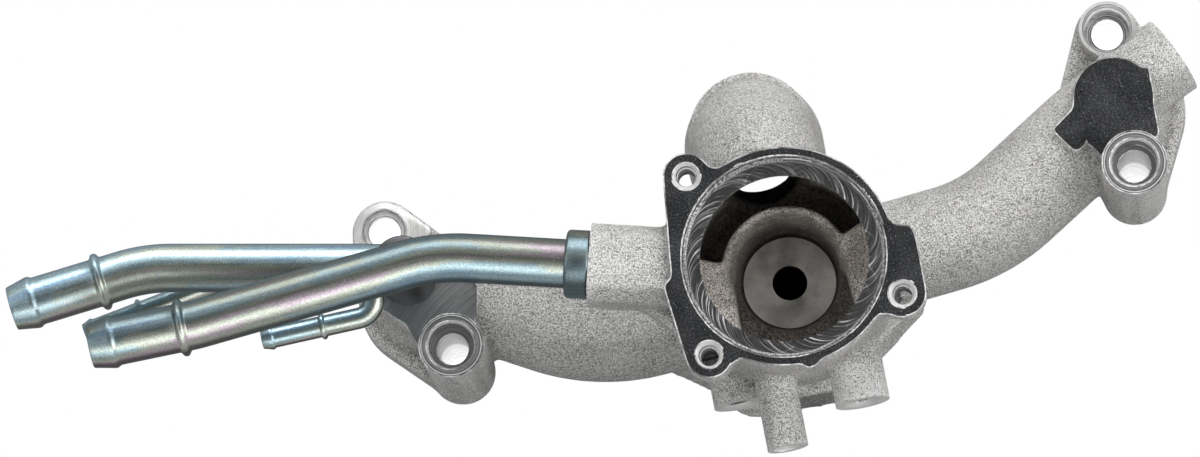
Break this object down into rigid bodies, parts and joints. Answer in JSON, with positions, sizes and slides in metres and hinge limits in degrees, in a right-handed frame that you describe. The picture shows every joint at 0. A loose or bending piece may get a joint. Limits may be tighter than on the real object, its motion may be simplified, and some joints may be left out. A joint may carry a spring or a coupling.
{
  "type": "coolant water outlet",
  "caption": "Cast aluminium coolant crossover with an open valve chamber, head flanges, a pump socket and plated steel hose pipes.",
  "frame": {"origin": "centre of the valve chamber's mouth, in its machined face", "axes": "+Z out of the mouth, +X along the crossover from the hose pipes' side to the end stub's side, +Y towards the pump socket; both head flange faces look along -Z"},
  "size_m": [0.3903, 0.1609, 0.084],
  "materials": {
    "cast_aluminium": "blasted as-cast skin with milled faces",
    "plated_steel": "zinc plating with a faint blue and yellow passivation",
    "dark_steel": "dull dark plating"
  },
  "bodies": {
    "root": {"outlet_casting": "cast_aluminium", "front_pipe": "plated_steel", "front_pipe_collar": "plated_steel", "rear_pipe": "plated_steel", "side_nipple": "plated_steel", "lower_nipple": "plated_steel", "rear_pipe_post": "dark_steel"}
  },
  "joints": []
}
